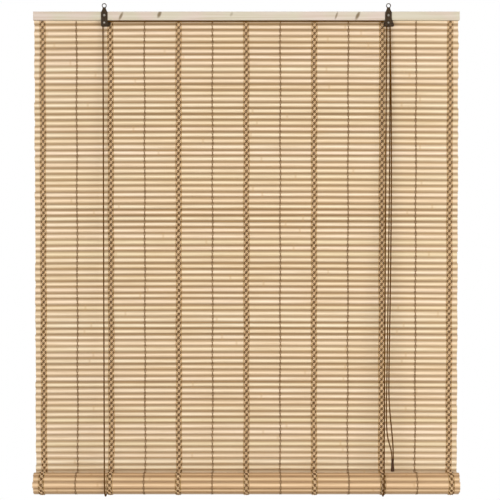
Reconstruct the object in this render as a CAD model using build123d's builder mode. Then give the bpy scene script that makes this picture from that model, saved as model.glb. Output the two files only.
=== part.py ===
from build123d import *
import math
import os

# Bamboo roll-up blind, drawn up part of the way and held there by its cord lock.
# Millimetres. X runs along the blind, +Z is up and the room side faces -Y.
# The origin lies midway between the eyes of the two hangers.

# Whole blind
blind_width = 1000.0
hanger_spacing = 666.0
overrun = 1.0  # how far a cut runs past the face that it opens
seat_clearance = 0.1  # between pieces that lie on each other
running_clearance = 0.05  # around a shaft, on the radius
guard_clearance = 0.3  # between pieces that move past each other

# Head batten of pine
batten_height = 20.0
batten_depth = 12.0
batten_edge_radius = 1.0

# Split bamboo slats: flat back, round front
slat_width = 13.0
slat_gap = 1.07
slat_thickness = 3.6
slat_edge_thickness = 1.0  # along the two long edges
slat_crown_shares = ((0.63, 0.64), (0.23, 1.0))  # of the half width and of the rise over the edge
mat_top_drop = 14.5  # top of the mat below the batten's top edge
hanging_slats = 77

# Roll at the foot of the mat
rod_radius = 8.0  # of the bottom rod that the turns are wound on
roll_radius = 27.8  # to the flat slat backs of the outer turn
roll_lead = 9.0  # foot of the straight mat above the roll's axis
layer_thickness = 6.2  # from one turn to the next
roll_warp_share = 0.8  # share of the outer turn that the loose warps follow

# Warps that bind the slats: broad bands, with thin threads midway between them
selvedge_inset = 20.0  # middle of the outer bands from the slats' ends
band_steps = (-6, -4, -2, 0, 2, 4, 6)
thread_steps = (-5, -3, -1, 1, 3, 5)
band_width = 14.0
thread_width = 4.5
warp_thickness = 0.6
warp_bond = 0.2  # how deep a selvedge band grips the slat backs

# Hanger straps of stamped steel, each with an eye for a wall hook
strap_thickness = 1.5
strap_width = 15.5
strap_drop = 34.0  # foot of the strap below the batten's top edge
strap_corner_radius = 1.5
eye_rise = 13.4  # eye centre above the batten's top edge
eye_bore_radius = 3.8
eye_outer_radius = 5.7
neck_width = 8.0
neck_rise = 6.0  # foot of the neck above the batten's top edge
shoulder_drop = 2.5
screw_drop = 8.8
axle_drop = 26.0
cheek_thickness = 1.2
cheek_reach = 14.0  # from the left axle to the tip of its guide cheek
lock_flare_drop = 17.0  # where the lock's strap begins to flare
lock_left_width = 10.6  # from the lock's middle to its left foot
lock_right_width = 14.0  # from the lock's middle to its right foot

# Cords and cord wheels
cord_diameter = 3.0
wheel_cord_radius = 4.0  # to the middle of the cord
wheel_rim_radius = 5.6
wheel_hub_radius = 3.2
wheel_flange = 0.7
wheel_side_clearance = 0.2
groove_width = 3.6
axle_radius = 1.25
rivet_head_radius = 2.6
rivet_head_height = 1.2
rivet_foot_height = 0.7

# Cord lock
cam_pin_radius = 1.1
cam_pin_reach = 9.3  # right of the wheel axle
cam_pin_drop = 4.3  # below the wheel axle
cam_hub_radius = 2.2
cam_nose_radius = 3.1
cam_root_radius = 2.6
cam_tail_radius = 3.3
cam_nose_angles = (150.0, 180.0, 210.0)
cam_root_angles = (165.0, 195.0)
cam_tail_angles = (-60.0, -30.0, 0.0, 30.0, 60.0)
tie_pin_radius = 1.0
tie_pin_reach = 8.2  # left of the wheel axle
tie_pin_drop = 5.0

# Fasteners
screw_radius = 1.5
screw_length = 9.0
screw_head_radius = 3.2
screw_head_height = 1.8
tack_radius = 0.8
tack_length = 7.0  # depth in the batten
tack_head_radius = 3.0
tack_head_height = 0.8
tack_drop = 2.6  # below the top of the mat
tack_steps = (-9, -5, -1, 1, 5, 9)
staple_wire_width = 1.2
staple_wire_thickness = 0.6
staple_depth = 7.0
staple_drop = 4.5  # below the batten's top edge

# End piece of the pull cords
toggle_reach = 7.5  # right of the lock's middle
toggle_gap = 0.85  # in front of the roll
toggle_rise = 63.0  # its top above the roll's axis
toggle_length = 30.0
toggle_top_radius = 3.3
toggle_neck_radius = 2.9
toggle_foot_radius = 4.3
toggle_neck_share = 0.2  # of its length, below its top
toggle_bell_share = 0.85
pull_sway = 11.0  # how far the pull cords wander to the left

# Where the lift cords meet the roll and the batten's back
left_sling_inset = 2.0  # from the left hanger towards the middle
right_sling_inset = 12.0  # from the lock towards the middle
anchor_inset = 2.0
anchor_knee_drop = 15.5  # below the batten's top edge, where a rear leg turns in
anchor_end_drop = 2.0  # below the batten's top edge, where the cord ends
anchor_run_drop = 6.5  # where a rear leg lies against the batten
bend_share = 0.45  # share of the shorter run that each bend takes

# Places that follow from the sizes
slat_pitch = slat_width + slat_gap
warp_pitch = (blind_width / 2 - selvedge_inset) / band_steps[-1]
cord_radius = cord_diameter / 2
hanger_x = hanger_spacing / 2
left_sling_x = -hanger_x + left_sling_inset
right_sling_x = hanger_x - right_sling_inset
left_anchor_x = -hanger_x + anchor_inset
right_anchor_x = hanger_x - anchor_inset
strap_front_y = -strap_thickness / 2
strap_back_y = strap_thickness / 2
batten_top_z = -eye_rise
batten_bottom_z = batten_top_z - batten_height
batten_front_y = strap_back_y
batten_back_y = batten_front_y + batten_depth
strap_foot_z = batten_top_z - strap_drop
axle_z = batten_top_z - axle_drop
screw_z = batten_top_z - screw_drop
wheel_front_y = strap_back_y + wheel_side_clearance
front_groove_y = wheel_front_y + wheel_flange + groove_width / 2
rear_groove_y = front_groove_y + groove_width + wheel_flange
wheel_back_y = rear_groove_y + groove_width / 2 + wheel_flange
cheek_front_y = wheel_back_y + wheel_side_clearance
cheek_back_y = cheek_front_y + cheek_thickness
cheek_top_z = batten_bottom_z - guard_clearance
groove_radius = wheel_cord_radius - cord_radius - guard_clearance
cam_x = hanger_x + cam_pin_reach
cam_z = axle_z - cam_pin_drop
warp_front_y = batten_back_y + seat_clearance
mat_front_y = warp_front_y + warp_thickness + seat_clearance
mat_back_y = mat_front_y + slat_thickness
warp_back_y = mat_back_y + seat_clearance
mat_top_z = batten_top_z - mat_top_drop
mat_foot_z = mat_top_z - hanging_slats * slat_pitch
roll_axis_z = mat_foot_z - roll_lead
roll_axis_y = mat_back_y - roll_radius
warp_foot_z = mat_foot_z + guard_clearance
tack_z = mat_top_z - tack_drop
staple_z = batten_top_z - staple_drop
anchor_y = batten_back_y + seat_clearance + cord_radius
band_corner_radius = math.hypot(roll_radius + seat_clearance + warp_thickness, slat_width / 2)
sling_radius = band_corner_radius + guard_clearance + cord_radius
sling_back_y = roll_axis_y + sling_radius
toggle_x = hanger_x + toggle_reach
toggle_y = roll_axis_y - math.hypot(roll_radius, slat_width / 2) - toggle_gap - toggle_foot_radius
toggle_top_z = roll_axis_z + toggle_rise


def wall_plane(y):
    """A plane parallel to the wall at depth y, facing the room."""
    return Plane.XZ.offset(-y)


def end_plane(x, y=0, z=0):
    """A plane across the blind at x, with its own origin at y and z."""
    return Plane(origin=(x, y, z), x_dir=(0, 1, 0), z_dir=(1, 0, 0))


def lathe_plane(x, z):
    """A plane through a turning axis that runs from the room to the wall."""
    return Plane(origin=(x, 0, z), x_dir=(1, 0, 0), z_dir=(0, 0, 1))


def wall_axis(x, z):
    """The axis of a piece that turns about a line from the room to the wall."""
    return Axis((x, 0, z), (0, 1, 0))


def save(piece, label):
    """Label a finished piece and write its STEP file."""
    piece.part.label = label
    export_step(piece.part, f"parts/{label}.step")


def polar(radius, degrees):
    """A point on a circle, as seen from the room."""
    angle = math.radians(degrees)
    return (radius * math.cos(angle), radius * math.sin(angle))


def turn_profile(points, x, z):
    """Turn a profile of (radius, depth) points about an axis to the wall."""
    with BuildSketch(lathe_plane(x, z)) as profile:
        with BuildLine():
            Polyline(*points, close=True)
        make_face()
    revolve(profile.sketch, axis=wall_axis(x, z))


def drill(y, x, z, radius, depth):
    """Drill a hole towards the wall from depth y."""
    with BuildSketch(wall_plane(y)) as hole:
        with Locations((x, z)):
            Circle(radius)
    extrude(hole.sketch, amount=-depth, mode=Mode.SUBTRACT)


# Head batten
staple_reach = cord_radius + seat_clearance + staple_wire_thickness / 2
staple_xs = [
    anchor_x + side * staple_reach
    for anchor_x in (left_anchor_x, right_anchor_x)
    for side in (-1, 1)
]
tack_xs = [step * warp_pitch / 2 for step in tack_steps]


def make_batten():
    """Pine batten with its rounded long edges and the holes of its fasteners."""
    with BuildPart() as batten:
        with BuildSketch(end_plane(-blind_width / 2, batten_front_y, batten_bottom_z)):
            RectangleRounded(
                batten_depth, batten_height, batten_edge_radius, align=(Align.MIN, Align.MIN)
            )
        extrude(amount=blind_width)
        for x in (-hanger_x, hanger_x):
            drill(batten_front_y - overrun, x, screw_z, screw_radius, screw_length + overrun)
        for x in tack_xs:
            drill(batten_back_y - tack_length, x, tack_z, tack_radius, tack_length + overrun)
        with BuildSketch(wall_plane(batten_back_y - staple_depth)):
            with Locations(*[(x, staple_z) for x in staple_xs]):
                Rectangle(staple_wire_thickness, staple_wire_width)
        extrude(amount=-(staple_depth + overrun), mode=Mode.SUBTRACT)
    save(batten, "head_batten")


# Slats, warps and the roll
slat_crown = [
    (
        -slat_edge_thickness - (slat_thickness - slat_edge_thickness) * rise_share,
        slat_width / 2 * half_share,
    )
    for half_share, rise_share in ((1, 0), *slat_crown_shares)
]
with BuildSketch() as slat_section:
    with BuildLine():
        Polyline(
            (0, -slat_width / 2),
            (0, slat_width / 2),
            *slat_crown,
            *[(depth, -half) for depth, half in slat_crown[::-1]],
            close=True,
        )
    make_face()

selvedge_xs = [band_steps[0] * warp_pitch, band_steps[-1] * warp_pitch]
inner_band_xs = [step * warp_pitch for step in band_steps[1:-1]]
thread_xs = [step * warp_pitch for step in thread_steps]


def wound_places():
    """Radius and angle of each slat on the roll, from the hanging mat inwards to the rod."""
    places = []
    shrink = layer_thickness / (2 * math.pi)
    angle = (slat_pitch / 2 - roll_lead) / roll_radius
    radius = roll_radius - shrink * angle
    while radius - slat_thickness - seat_clearance > rod_radius:
        places.append((radius, angle))
        angle += slat_pitch / radius
        radius = roll_radius - shrink * angle
    print("slats on the roll", len(places))
    return places


def strip_side(places, stand_off):
    """Corner points of a strip that follows the slat backs at a distance."""
    points = []
    for radius, angle in places:
        out = Vector(math.cos(angle), -math.sin(angle))
        along = Vector(-math.sin(angle), -math.cos(angle))
        middle = out * (radius + stand_off)
        points.append(middle - along * (slat_width / 2))
        points.append(middle + along * (slat_width / 2))
    return points


def wind_strip(x, width, places, inner, outer):
    """A warp strip wound over the slat backs of the roll."""
    rim = strip_side(places, outer) + strip_side(places, inner)[::-1]
    with BuildSketch(end_plane(x - width / 2, roll_axis_y, roll_axis_z)) as strip:
        with BuildLine():
            Polyline(*rim, close=True)
        make_face()
    extrude(strip.sketch, amount=width)


def make_slat_mat():
    """Hanging slats, carried by the two selvedge bands on their backs."""
    slat_zs = [mat_top_z - (index + 0.5) * slat_pitch for index in range(hanging_slats)]
    strip_height = mat_top_z - warp_foot_z
    strip_depth = warp_bond + seat_clearance + warp_thickness
    with BuildPart() as mat:
        with BuildSketch(end_plane(-blind_width / 2, mat_back_y)):
            with Locations(*[(0, z) for z in slat_zs]):
                add(slat_section.sketch)
        extrude(amount=blind_width)
        for x in selvedge_xs:
            with BuildSketch(end_plane(x - band_width / 2, mat_back_y - warp_bond, warp_foot_z)):
                Rectangle(strip_depth, strip_height, align=(Align.MIN, Align.MIN))
            extrude(amount=band_width)
        for x in tack_xs:
            drill(mat_front_y - overrun, x, tack_z, tack_radius, slat_thickness + 2 * overrun)
    save(mat, "slat_mat")


def make_warp(label, x, width, has_back):
    """A warp that runs down the front of the mat, and down its back where it is loose."""
    height = mat_top_z - warp_foot_z
    with BuildPart() as warp:
        depths = [warp_front_y, warp_back_y] if has_back else [warp_front_y]
        for y in depths:
            with BuildSketch(end_plane(x - width / 2, y, warp_foot_z)):
                Rectangle(warp_thickness, height, align=(Align.MIN, Align.MIN))
            extrude(amount=width)
        fold_y = depths[-1] + warp_thickness if has_back else mat_back_y
        with BuildSketch(end_plane(x - width / 2, warp_front_y, mat_top_z)):
            Rectangle(fold_y - warp_front_y, warp_thickness, align=(Align.MIN, Align.MIN))
        extrude(amount=width)
    save(warp, label)


def make_roll():
    """The rolled turns of the mat, its rod, and the warps over its outer turn."""
    places = wound_places()
    with BuildPart() as roll:
        with BuildSketch(end_plane(-blind_width / 2, roll_axis_y, roll_axis_z)):
            spots = [
                Location(
                    (radius * math.cos(angle), -radius * math.sin(angle), 0),
                    (0, 0, -math.degrees(angle)),
                )
                for radius, angle in places
            ]
            with Locations(*spots):
                add(slat_section.sketch)
        extrude(amount=blind_width)
        for x in selvedge_xs:
            wind_strip(x, band_width, places, -warp_bond, seat_clearance + warp_thickness)
    save(roll, "mat_roll")

    with BuildPart() as rod:
        with BuildSketch(end_plane(-blind_width / 2, roll_axis_y, roll_axis_z)):
            Circle(rod_radius)
        extrude(amount=blind_width)
    save(rod, "bottom_rod")

    outer_turn = [place for place in places if place[1] < 2 * math.pi * roll_warp_share]
    for label, xs, width in (
        ("roll_bands", inner_band_xs, band_width),
        ("roll_threads", thread_xs, thread_width),
    ):
        with BuildPart() as warps:
            for x in xs:
                wind_strip(x, width, outer_turn, seat_clearance, seat_clearance + warp_thickness)
        save(warps, label)


# Hangers
def strap_outline(x, foot_left, foot_right):
    """Half strap, half ring: the stamped outline of a hanger, seen from the room."""
    half = strap_width / 2
    flare_z = batten_top_z - lock_flare_drop
    neck_z = batten_top_z + neck_rise
    shoulder_z = batten_top_z - shoulder_drop
    corners = [
        (x - neck_width / 2, 0),
        (x + neck_width / 2, 0),
        (x + neck_width / 2, neck_z),
        (x + half, shoulder_z),
        (x + half, flare_z),
        (x + foot_right, strap_foot_z),
        (x - foot_left, strap_foot_z),
        (x - half, flare_z),
        (x - half, shoulder_z),
        (x - neck_width / 2, neck_z),
    ]
    with BuildLine() as rim:
        Polyline(*corners, close=True)
    make_face(rim.edges())


def make_strap(label, x, foot_left, foot_right, pins):
    """A hanger strap with its eye, its screw hole and the holes of its pins."""
    with BuildPart() as strap:
        with BuildSketch(wall_plane(strap_back_y)) as outline:
            strap_outline(x, foot_left, foot_right)
            fillet(outline.vertices().group_by(Axis.Z)[0], strap_corner_radius)
            with Locations((x, 0)):
                Circle(eye_outer_radius)
                Circle(eye_bore_radius, mode=Mode.SUBTRACT)
            with Locations((x, screw_z)):
                Circle(screw_radius + running_clearance, mode=Mode.SUBTRACT)
            for pin_x, pin_z, pin_radius in pins:
                with Locations((pin_x, pin_z)):
                    Circle(pin_radius + running_clearance, mode=Mode.SUBTRACT)
        extrude(amount=strap_thickness)
    save(strap, label)


def make_guide_cheek():
    """Rear cheek of the left hanger, drawn out to the right where the cross cord leaves."""
    tip_radius = (cheek_top_z - strap_foot_z) / 2
    tip_x = -hanger_x + cheek_reach - tip_radius
    tip_z = (cheek_top_z + strap_foot_z) / 2
    with BuildPart() as cheek:
        with BuildSketch(wall_plane(cheek_back_y)):
            with Locations((-hanger_x - strap_width / 2, strap_foot_z)):
                Rectangle(
                    tip_x + hanger_x + strap_width / 2,
                    cheek_top_z - strap_foot_z,
                    align=(Align.MIN, Align.MIN),
                )
            with Locations((tip_x, tip_z)):
                Circle(tip_radius)
            with Locations((-hanger_x, axle_z)):
                Circle(axle_radius + running_clearance, mode=Mode.SUBTRACT)
        extrude(amount=cheek_thickness)
    save(cheek, "left_guide_cheek")


def make_lock_cheek(pins):
    """Rear cheek of the cord lock, with the same flare as its strap."""
    rise_share = (cheek_top_z - strap_foot_z) / (strap_drop - lock_flare_drop)
    top_left = lock_left_width + (strap_width / 2 - lock_left_width) * rise_share
    top_right = lock_right_width + (strap_width / 2 - lock_right_width) * rise_share
    with BuildPart() as cheek:
        with BuildSketch(wall_plane(cheek_back_y)) as outline:
            with BuildLine():
                Polyline(
                    (hanger_x - top_left, cheek_top_z),
                    (hanger_x + top_right, cheek_top_z),
                    (hanger_x + lock_right_width, strap_foot_z),
                    (hanger_x - lock_left_width, strap_foot_z),
                    close=True,
                )
            make_face()
            fillet(outline.vertices().group_by(Axis.Z)[0], strap_corner_radius)
            for pin_x, pin_z, pin_radius in pins:
                with Locations((pin_x, pin_z)):
                    Circle(pin_radius + running_clearance, mode=Mode.SUBTRACT)
        extrude(amount=cheek_thickness)
    save(cheek, "lock_cheek")


def make_rivet(label, x, z, radius):
    """A pin through a hanger, headed on the strap and closed behind the cheek."""
    head_radius = rivet_head_radius * radius / axle_radius
    head_y = strap_front_y - rivet_head_height
    foot_y = cheek_back_y + rivet_foot_height
    with BuildPart() as rivet:
        turn_profile(
            [
                (0, head_y),
                (radius, head_y),
                (head_radius, strap_front_y),
                (radius, strap_front_y),
                (radius, cheek_back_y),
                (head_radius, cheek_back_y),
                (radius, foot_y),
                (0, foot_y),
            ],
            x,
            z,
        )
    save(rivet, label)


def make_wheel(label, x, grooves):
    """A cord wheel with a groove at each of the given depths."""
    bore = axle_radius + running_clearance
    first_flange = grooves[0] - groove_width / 2 - wheel_flange
    points = [(bore, wheel_front_y), (wheel_hub_radius, wheel_front_y)]
    if first_flange > wheel_front_y + running_clearance:
        points.append((wheel_hub_radius, first_flange))
        points.append((wheel_rim_radius, first_flange))
    else:
        points[-1] = (wheel_rim_radius, wheel_front_y)
    for y in grooves:
        points.append((wheel_rim_radius, y - groove_width / 2))
        points.append((groove_radius, y - groove_width / 2))
        points.append((groove_radius, y + groove_width / 2))
        points.append((wheel_rim_radius, y + groove_width / 2))
    points.append((wheel_rim_radius, wheel_back_y))
    points.append((bore, wheel_back_y))
    with BuildPart() as wheel:
        turn_profile(points, x, axle_z)
    save(wheel, label)


def make_lock_cam():
    """Toothed cam that nips the pull cords, with a tail that keeps it shut."""
    nose = [polar(cam_nose_radius, degrees) for degrees in cam_nose_angles]
    roots = [polar(cam_root_radius, degrees) for degrees in cam_root_angles]
    teeth = [nose[0], roots[0], nose[1], roots[1], nose[2]]
    tail = [polar(cam_tail_radius, degrees) for degrees in cam_tail_angles]
    with BuildPart() as cam:
        with BuildSketch(wall_plane(wheel_back_y)):
            with Locations((cam_x, cam_z)):
                Circle(cam_hub_radius)
                Polygon(*teeth, (0, 0), align=None)
                Polygon(*tail, (0, 0), align=None)
                Circle(cam_pin_radius + running_clearance, mode=Mode.SUBTRACT)
        extrude(amount=wheel_back_y - wheel_front_y)
    save(cam, "lock_cam")


def make_hangers():
    """Both hangers with their wheels, pins and screws."""
    left_axle = (-hanger_x, axle_z, axle_radius)
    lock_pins = [
        (hanger_x, axle_z, axle_radius),
        (cam_x, cam_z, cam_pin_radius),
        (hanger_x - tie_pin_reach, axle_z - tie_pin_drop, tie_pin_radius),
    ]
    make_strap("left_hanger", -hanger_x, strap_width / 2, strap_width / 2, [left_axle])
    make_strap("lock_strap", hanger_x, lock_left_width, lock_right_width, lock_pins)
    make_guide_cheek()
    make_lock_cheek(lock_pins)
    make_rivet("left_wheel_axle", *left_axle)
    for label, pin in zip(("lock_wheel_axle", "lock_cam_pin", "lock_tie_pin"), lock_pins):
        make_rivet(label, *pin)
    make_wheel("left_wheel", -hanger_x, [rear_groove_y])
    make_wheel("lock_wheel", hanger_x, [front_groove_y, rear_groove_y])
    make_lock_cam()


# Fasteners
def make_fasteners():
    """Hanger screws, mat tacks and cord staples."""
    with BuildPart() as screws:
        for x in (-hanger_x, hanger_x):
            turn_profile(
                [
                    (0, strap_front_y - screw_head_height),
                    (screw_radius, strap_front_y - screw_head_height),
                    (screw_head_radius, strap_front_y),
                    (screw_radius, strap_front_y),
                    (screw_radius, batten_front_y + screw_length),
                    (0, batten_front_y + screw_length),
                ],
                x,
                screw_z,
            )
    save(screws, "hanger_screws")

    with BuildPart() as tacks:
        for x in tack_xs:
            turn_profile(
                [
                    (0, batten_back_y - tack_length),
                    (tack_radius, batten_back_y - tack_length),
                    (tack_radius, mat_back_y),
                    (tack_head_radius, mat_back_y),
                    (tack_radius, mat_back_y + tack_head_height),
                    (0, mat_back_y + tack_head_height),
                ],
                x,
                tack_z,
            )
    save(tacks, "mat_tacks")

    crown_y = anchor_y + cord_radius + seat_clearance
    leg_length = crown_y - batten_back_y + staple_depth
    with BuildPart() as staples:
        with BuildSketch(Plane.XY.offset(staple_z - staple_wire_width / 2)):
            with Locations(
                (left_anchor_x, batten_back_y - staple_depth),
                (right_anchor_x, batten_back_y - staple_depth),
            ):
                Rectangle(
                    2 * staple_reach + staple_wire_thickness,
                    leg_length + staple_wire_thickness,
                    align=(Align.CENTER, Align.MIN),
                )
                Rectangle(
                    2 * staple_reach - staple_wire_thickness,
                    leg_length,
                    align=(Align.CENTER, Align.MIN),
                    mode=Mode.SUBTRACT,
                )
        extrude(amount=staple_wire_width)
    save(staples, "cord_staples")


# Cords
def bend_radii(route):
    """The largest arc that the two runs beside each inner point of a route allow."""
    radii = []
    for before, corner, after in zip(route, route[1:], route[2:]):
        run_in = Vector(*corner) - Vector(*before)
        run_out = Vector(*after) - Vector(*corner)
        turn = math.radians(run_in.get_angle(run_out))
        shorter = min(run_in.length, run_out.length)
        radii.append(bend_share * shorter / math.tan(turn / 2))
    return radii


def sweep_cord(path):
    """A round cord along a path."""
    with BuildSketch(Plane(origin=path @ 0, z_dir=path % 0)) as section:
        Circle(cord_radius)
    sweep(section.sketch, path=path)


def make_cord(label, route):
    """A cord along straight runs and the arcs between them."""
    radii = bend_radii(route)
    with BuildPart() as cord:
        with BuildLine() as path:
            if radii:
                FilletPolyline(*route, radius=radii)
            else:
                Line(*route)
        sweep_cord(path.line)
    length = sum(edge.length for edge in path.edges())
    full_volume = math.pi * cord_radius**2 * length
    print(label, "bend radii", [round(radius, 1) for radius in radii])
    print(label, "length", round(length, 1), "volume share", round(cord.part.volume / full_volume, 4))
    save(cord, label)


def make_lift_cord(side, wheel_x, groove_y, sling_x, anchor_x):
    """Rear leg, sling under the roll and front leg of one lift cord."""
    make_cord(
        f"{side}_rear_leg",
        [
            (sling_x, sling_back_y, roll_axis_z + seat_clearance),
            (anchor_x, sling_back_y, batten_top_z - anchor_knee_drop),
            (anchor_x, anchor_y, batten_top_z - anchor_run_drop),
            (anchor_x, anchor_y, batten_top_z - anchor_end_drop),
        ],
    )
    lean = math.atan2(groove_y - roll_axis_y + sling_radius, axle_z - roll_axis_z)
    front_y = roll_axis_y - sling_radius * math.cos(lean)
    front_z = roll_axis_z + sling_radius * math.sin(lean)
    with BuildPart() as sling:
        with BuildLine(end_plane(sling_x)) as path:
            CenterArc((roll_axis_y, roll_axis_z), sling_radius, 0, -180 - math.degrees(lean))
        sweep_cord(path.line)
    save(sling, f"{side}_sling")
    foot = Vector(sling_x, front_y, front_z)
    top = Vector(wheel_x - wheel_cord_radius, groove_y, axle_z)
    pull_back = (top - foot).normalized() * seat_clearance
    make_cord(f"{side}_front_leg", [tuple(foot + pull_back), tuple(top - pull_back)])


def make_cross_cord():
    """The left lift cord's run over both wheels, below the batten."""
    with BuildPart() as cord:
        with BuildLine(wall_plane(rear_groove_y)) as path:
            over_left = CenterArc((-hanger_x, axle_z), wheel_cord_radius, 180, -90)
            over_right = CenterArc((hanger_x, axle_z), wheel_cord_radius, 90, -90)
            Line(over_left @ 1, over_right @ 0)
        sweep_cord(path.line)
    save(cord, "cross_cord")


def make_lock_turn():
    """The right lift cord's half turn over the lock wheel."""
    with BuildPart() as cord:
        with BuildLine(wall_plane(front_groove_y)) as path:
            CenterArc((hanger_x, axle_z), wheel_cord_radius, 180, -180)
        sweep_cord(path.line)
    save(cord, "lock_turn")


def make_toggle():
    """Slim bell that the two pull cords end in."""
    foot_z = toggle_top_z - toggle_length
    neck_z = toggle_top_z - toggle_length * toggle_neck_share
    bell_z = toggle_top_z - toggle_length * toggle_bell_share
    with BuildPart() as toggle:
        with BuildSketch(Plane(origin=(toggle_x, toggle_y, 0), x_dir=(1, 0, 0), z_dir=(0, -1, 0))):
            with BuildLine():
                Polyline(
                    (0, toggle_top_z),
                    (toggle_top_radius, toggle_top_z),
                    (toggle_neck_radius, neck_z),
                    (toggle_foot_radius, bell_z),
                    (toggle_foot_radius, foot_z),
                    (0, foot_z),
                    close=True,
                )
            make_face()
        revolve(axis=Axis((toggle_x, toggle_y, 0), (0, 0, 1)))
    save(toggle, "pull_toggle")


# Routes of the two pull cords, as shares of their sway, of the way to the end piece, and of their drop
rear_pull_shares = (
    (0.018, 0.008, 0.026),
    (-0.055, 0.253, 0.286),
    (-0.455, 0.554, 0.592),
    (-0.873, 0.825, 0.838),
    (-1.0, 0.9, 0.907),
    (-0.836, 0.952, 0.947),
    (-0.327, 0.988, 0.9685),
    (0.118, 0.9985, 0.984),
)
front_pull_shares = (
    (0.082, 0.014, 0.026),
    (0.273, 0.281, 0.296),
    (0.055, 0.539, 0.553),
    (-0.473, 0.839, 0.8285),
    (-0.4, 0.887, 0.873),
    (-0.091, 0.932, 0.912),
    (0.273, 0.971, 0.952),
    (0.4455, 0.9965, 0.98),
)


def pull_route(groove_y, shares, side):
    """Points of a pull cord from its groove to its side of the end piece."""
    start_x = hanger_x + wheel_cord_radius
    end_x = toggle_x + side * (cord_radius + seat_clearance / 2)
    points = [
        (
            start_x + sway * pull_sway,
            groove_y + (toggle_y - groove_y) * forward,
            axle_z + (toggle_top_z - axle_z) * down,
        )
        for sway, forward, down in shares
    ]
    return [
        (start_x, groove_y, axle_z - seat_clearance),
        *points,
        (end_x, toggle_y, toggle_top_z + seat_clearance),
    ]


os.makedirs("parts", exist_ok=True)
make_batten()
make_slat_mat()
for index, step in enumerate(band_steps, start=1):
    make_warp(f"warp_band_{index}", step * warp_pitch, band_width, step * warp_pitch not in selvedge_xs)
for index, step in enumerate(thread_steps, start=1):
    make_warp(f"warp_thread_{index}", step * warp_pitch, thread_width, True)
make_roll()
make_hangers()
make_fasteners()
make_lift_cord("left", -hanger_x, rear_groove_y, left_sling_x, left_anchor_x)
make_lift_cord("right", hanger_x, front_groove_y, right_sling_x, right_anchor_x)
make_cross_cord()
make_lock_turn()
make_cord("rear_pull_cord", pull_route(rear_groove_y, rear_pull_shares, -1))
make_cord("front_pull_cord", pull_route(front_groove_y, front_pull_shares, 1))
make_toggle()
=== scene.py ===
"""Bamboo roll-up blind: dresses the CAD solids and sets the stage for the photograph's view."""

import logging
import math
import random
from dataclasses import dataclass, field
from enum import Enum
from typing import Any, Dict, List, Optional, Sequence, Tuple, Union

import bmesh
import bpy
from bpy.types import ID, Material, Mesh, Node, NodeSocket, NodeTree, Object
from mathutils import Matrix, Vector


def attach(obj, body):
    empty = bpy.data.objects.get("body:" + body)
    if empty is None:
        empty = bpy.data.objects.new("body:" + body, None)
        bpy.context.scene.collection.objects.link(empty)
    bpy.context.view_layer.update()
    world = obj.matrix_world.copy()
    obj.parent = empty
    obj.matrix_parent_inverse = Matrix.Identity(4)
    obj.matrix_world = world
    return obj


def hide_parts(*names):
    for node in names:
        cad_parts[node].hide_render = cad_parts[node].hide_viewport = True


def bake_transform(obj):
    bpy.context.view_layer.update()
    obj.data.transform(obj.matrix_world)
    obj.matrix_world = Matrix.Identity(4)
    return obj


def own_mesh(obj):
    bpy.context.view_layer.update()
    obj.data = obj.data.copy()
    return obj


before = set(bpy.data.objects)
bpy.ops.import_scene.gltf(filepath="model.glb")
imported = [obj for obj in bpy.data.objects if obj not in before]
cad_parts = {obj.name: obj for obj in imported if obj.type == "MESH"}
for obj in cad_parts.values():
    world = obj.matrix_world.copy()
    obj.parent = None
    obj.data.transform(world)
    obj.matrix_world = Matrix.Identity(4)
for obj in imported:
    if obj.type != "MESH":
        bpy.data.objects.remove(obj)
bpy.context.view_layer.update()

Point = Tuple[float, float, float]
Colour = Tuple[float, float, float, float]
Inputs = Dict[Union[int, str], Union[float, str, Point, NodeSocket]]
Station = Tuple[float, Matrix]

HAIR = 0.00001  # a length in metres that is too small to see
CREASE = math.radians(50)  # a sharper turn between two faces shows as an edge
WAVE_PERIOD = math.tau / 20  # of the wave texture at a scale of 1
# flank carries the painted shade towards each slat's edges
SLAT_MARKS = ("tone", "hue", "flank", "back", "shift")  # what each slat tells its finish

log = logging.getLogger("blind")
logging.basicConfig(level=logging.INFO, format="%(message)s")


class Body(Enum):
    """Bodies of the record that pieces ride on."""

    HEADRAIL = "headrail"
    SLINGS = "slings"
    ROLL = "roll"
    CORD_END = "cord_end"


class Side(Enum):
    """Face of the mat that a warp runs over."""

    ROOM = -1
    WALL = 1


class Hand(Enum):
    """Left and right, as one faces the blind."""

    LEFT = -1
    RIGHT = 1


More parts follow.
